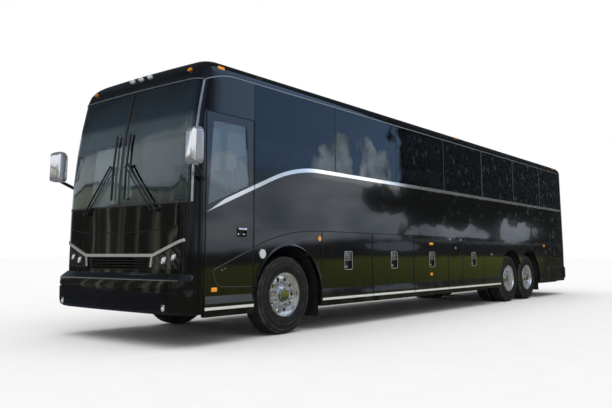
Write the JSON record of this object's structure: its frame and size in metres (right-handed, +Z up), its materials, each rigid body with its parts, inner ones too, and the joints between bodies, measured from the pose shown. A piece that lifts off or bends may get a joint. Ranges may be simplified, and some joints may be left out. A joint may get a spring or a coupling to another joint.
{
  "type": "three-axle highway coach",
  "caption": "Gloss black high-floor highway coach with flush dark windows, twin rear axles, swinging front doors and lift-up luggage bay doors.",
  "frame": {"origin": "on the road under the middle of the body", "axes": "+X forward, +Y to the driver side, +Z up"},
  "size_m": [13.54, 3.2016, 3.5],
  "materials": {
    "black_paint": "gloss black paint",
    "bumper_plastic": "satin black",
    "clear_glass": "clear tinted glass",
    "dark_glass": "dark flush glass",
    "grille_black": "matt black",
    "bright_metal": "polished",
    "lamp_glass": "clear lens",
    "amber_lens": "amber lens",
    "red_lens": "red lens",
    "floor_covering": "ribbed floor covering",
    "frame_steel": "satin black",
    "dash_plastic": "grained",
    "seat_fabric": "woven",
    "engine_iron": "cast",
    "bellows_rubber": "matt",
    "liner_plastic": "matt",
    "axle_iron": "cast, painted",
    "tyre_rubber": "matt",
    "wheel_alloy": "polished"
  },
  "bodies": {
    "chassis": {"front_mask": "black_paint", "front_cap": "black_paint", "windscreen": "clear_glass", "roof": "black_paint", "side_wall_left": "black_paint", "side_wall_right": "black_paint", "side_glass_left": "dark_glass", "side_glass_right": "dark_glass", "lower_panels_left": "black_paint", "lower_panels_right": "black_paint", "rear_cap_shell": "black_paint", "front_bumper": "bumper_plastic", "rear_bumper_bar": "bumper_plastic", "grille": "grille_black", "bright_bar": "bright_metal", "headlamps": "lamp_glass", "marker_lamps": "amber_lens", "tail_lamps": "red_lens", "mirrors": "bright_metal", "wipers": "grille_black", "floor_deck": "floor_covering", "bulkheads": "frame_steel", "underframe": "frame_steel", "tow_eyes": "frame_steel", "dashboard": "dash_plastic", "seats": "seat_fabric", "engine_block": "engine_iron", "air_springs": "bellows_rubber", "wheel_liners": "liner_plastic", "mud_flaps": "bellows_rubber", "front_axle": "axle_iron", "rear_axles": "axle_iron"},
    "knuckle_left": {"knuckle_left": "axle_iron"},
    "knuckle_right": {"knuckle_right": "axle_iron"},
    "wheel_front_left": {"tyre_front_left": "tyre_rubber", "rim_front_left": "wheel_alloy"},
    "wheel_front_right": {"tyre_front_right": "tyre_rubber", "rim_front_right": "wheel_alloy"},
    "wheel_drive_left": {"tyre_drive_left": "tyre_rubber", "rim_drive_left": "wheel_alloy"},
    "wheel_drive_right": {"tyre_drive_right": "tyre_rubber", "rim_drive_right": "wheel_alloy"},
    "wheel_tag_left": {"tyre_tag_left": "tyre_rubber", "rim_tag_left": "wheel_alloy"},
    "wheel_tag_right": {"tyre_tag_right": "tyre_rubber", "rim_tag_right": "wheel_alloy"},
    "steering_wheel": {"steering_wheel": "dash_plastic"},
    "luggage_door_l1": {"luggage_door_l1": "black_paint"},
    "luggage_door_l2": {"luggage_door_l2": "black_paint"},
    "luggage_door_l3": {"luggage_door_l3": "black_paint"},
    "luggage_door_l4": {"luggage_door_l4": "black_paint"},
    "luggage_door_r1": {"luggage_door_r1": "black_paint"},
    "luggage_door_r2": {"luggage_door_r2": "black_paint"},
    "luggage_door_r3": {"luggage_door_r3": "black_paint"},
    "luggage_door_r4": {"luggage_door_r4": "black_paint"},
    "driver_door": {"driver_door": "black_paint", "driver_door_glass": "clear_glass"},
    "entrance_door": {"entrance_door": "black_paint", "entrance_door_glass": "clear_glass"},
    "engine_door": {"engine_door": "black_paint"}
  },
  "joints": [
    {"name": "steer_left", "type": "hinge", "parent": "chassis", "child": "knuckle_left", "pos_m": [4.84, 0.8865, 0.522], "axis": [0, 0, 1], "range_deg": [-45, 45]},
    {"name": "steer_right", "type": "hinge", "parent": "chassis", "child": "knuckle_right", "pos_m": [4.84, -0.8865, 0.522], "axis": [0, 0, 1], "range_deg": [-45, 45]},
    {"name": "spin_front_left", "type": "hinge", "parent": "knuckle_left", "child": "wheel_front_left", "pos_m": [4.84, 1.0635, 0.522], "axis": [0, 1, 0], "continuous": true},
    {"name": "spin_drive_left", "type": "hinge", "parent": "chassis", "child": "wheel_drive_left", "pos_m": [-2.76, 1.0635, 0.522], "axis": [0, 1, 0], "continuous": true},
    {"name": "spin_tag_left", "type": "hinge", "parent": "chassis", "child": "wheel_tag_left", "pos_m": [-3.88, 1.0635, 0.522], "axis": [0, 1, 0], "continuous": true},
    {"name": "spin_front_right", "type": "hinge", "parent": "knuckle_right", "child": "wheel_front_right", "pos_m": [4.84, -1.0635, 0.522], "axis": [0, 1, 0], "continuous": true},
    {"name": "spin_drive_right", "type": "hinge", "parent": "chassis", "child": "wheel_drive_right", "pos_m": [-2.76, -1.0635, 0.522], "axis": [0, 1, 0], "continuous": true},
    {"name": "spin_tag_right", "type": "hinge", "parent": "chassis", "child": "wheel_tag_right", "pos_m": [-3.88, -1.0635, 0.522], "axis": [0, 1, 0], "continuous": true},
    {"name": "steering_wheel_turn", "type": "hinge", "parent": "chassis", "child": "steering_wheel", "pos_m": [6.075, 0.62, 1.6], "axis": [-0.4202, 0, 0.9074], "range_deg": [-810, 810]},
    {"name": "luggage_lift_l1", "type": "hinge", "parent": "chassis", "child": "luggage_door_l1", "pos_m": [3.5108, 1.295, 1.396], "axis": [1, 0, 0], "range_deg": [0, 95]},
    {"name": "luggage_lift_l2", "type": "hinge", "parent": "chassis", "child": "luggage_door_l2", "pos_m": [2.2245, 1.295, 1.396], "axis": [1, 0, 0], "range_deg": [0, 95]},
    {"name": "luggage_lift_l3", "type": "hinge", "parent": "chassis", "child": "luggage_door_l3", "pos_m": [0.9382, 1.295, 1.396], "axis": [1, 0, 0], "range_deg": [0, 95]},
    {"name": "luggage_lift_l4", "type": "hinge", "parent": "chassis", "child": "luggage_door_l4", "pos_m": [-0.798, 1.295, 1.396], "axis": [1, 0, 0], "range_deg": [0, 95]},
    {"name": "luggage_lift_r1", "type": "hinge", "parent": "chassis", "child": "luggage_door_r1", "pos_m": [3.5108, -1.295, 1.396], "axis": [-1, 0, 0], "range_deg": [0, 95]},
    {"name": "luggage_lift_r2", "type": "hinge", "parent": "chassis", "child": "luggage_door_r2", "pos_m": [2.2245, -1.295, 1.396], "axis": [-1, 0, 0], "range_deg": [0, 95]},
    {"name": "luggage_lift_r3", "type": "hinge", "parent": "chassis", "child": "luggage_door_r3", "pos_m": [0.9382, -1.295, 1.396], "axis": [-1, 0, 0], "range_deg": [0, 95]},
    {"name": "luggage_lift_r4", "type": "hinge", "parent": "chassis", "child": "luggage_door_r4", "pos_m": [-0.798, -1.295, 1.396], "axis": [-1, 0, 0], "range_deg": [0, 95]},
    {"name": "driver_door_swing", "type": "hinge", "parent": "chassis", "child": "driver_door", "pos_m": [6.321, 1.295, 1.5], "axis": [0, 0, -1], "range_deg": [0, 80]},
    {"name": "entrance_door_swing", "type": "hinge", "parent": "chassis", "child": "entrance_door", "pos_m": [6.321, -1.295, 1.5], "axis": [0, 0, 1], "range_deg": [0, 80]},
    {"name": "engine_door_lift", "type": "hinge", "parent": "chassis", "child": "engine_door", "pos_m": [-6.71, 0, 1.78], "axis": [0, 1, 0], "range_deg": [0, 75]}
  ],
  "couplings": [
    {"joint": "steer_right", "follows": "steer_left", "ratio": 1},
    {"joint": "steering_wheel_turn", "follows": "steer_left", "ratio": 18}
  ]
}
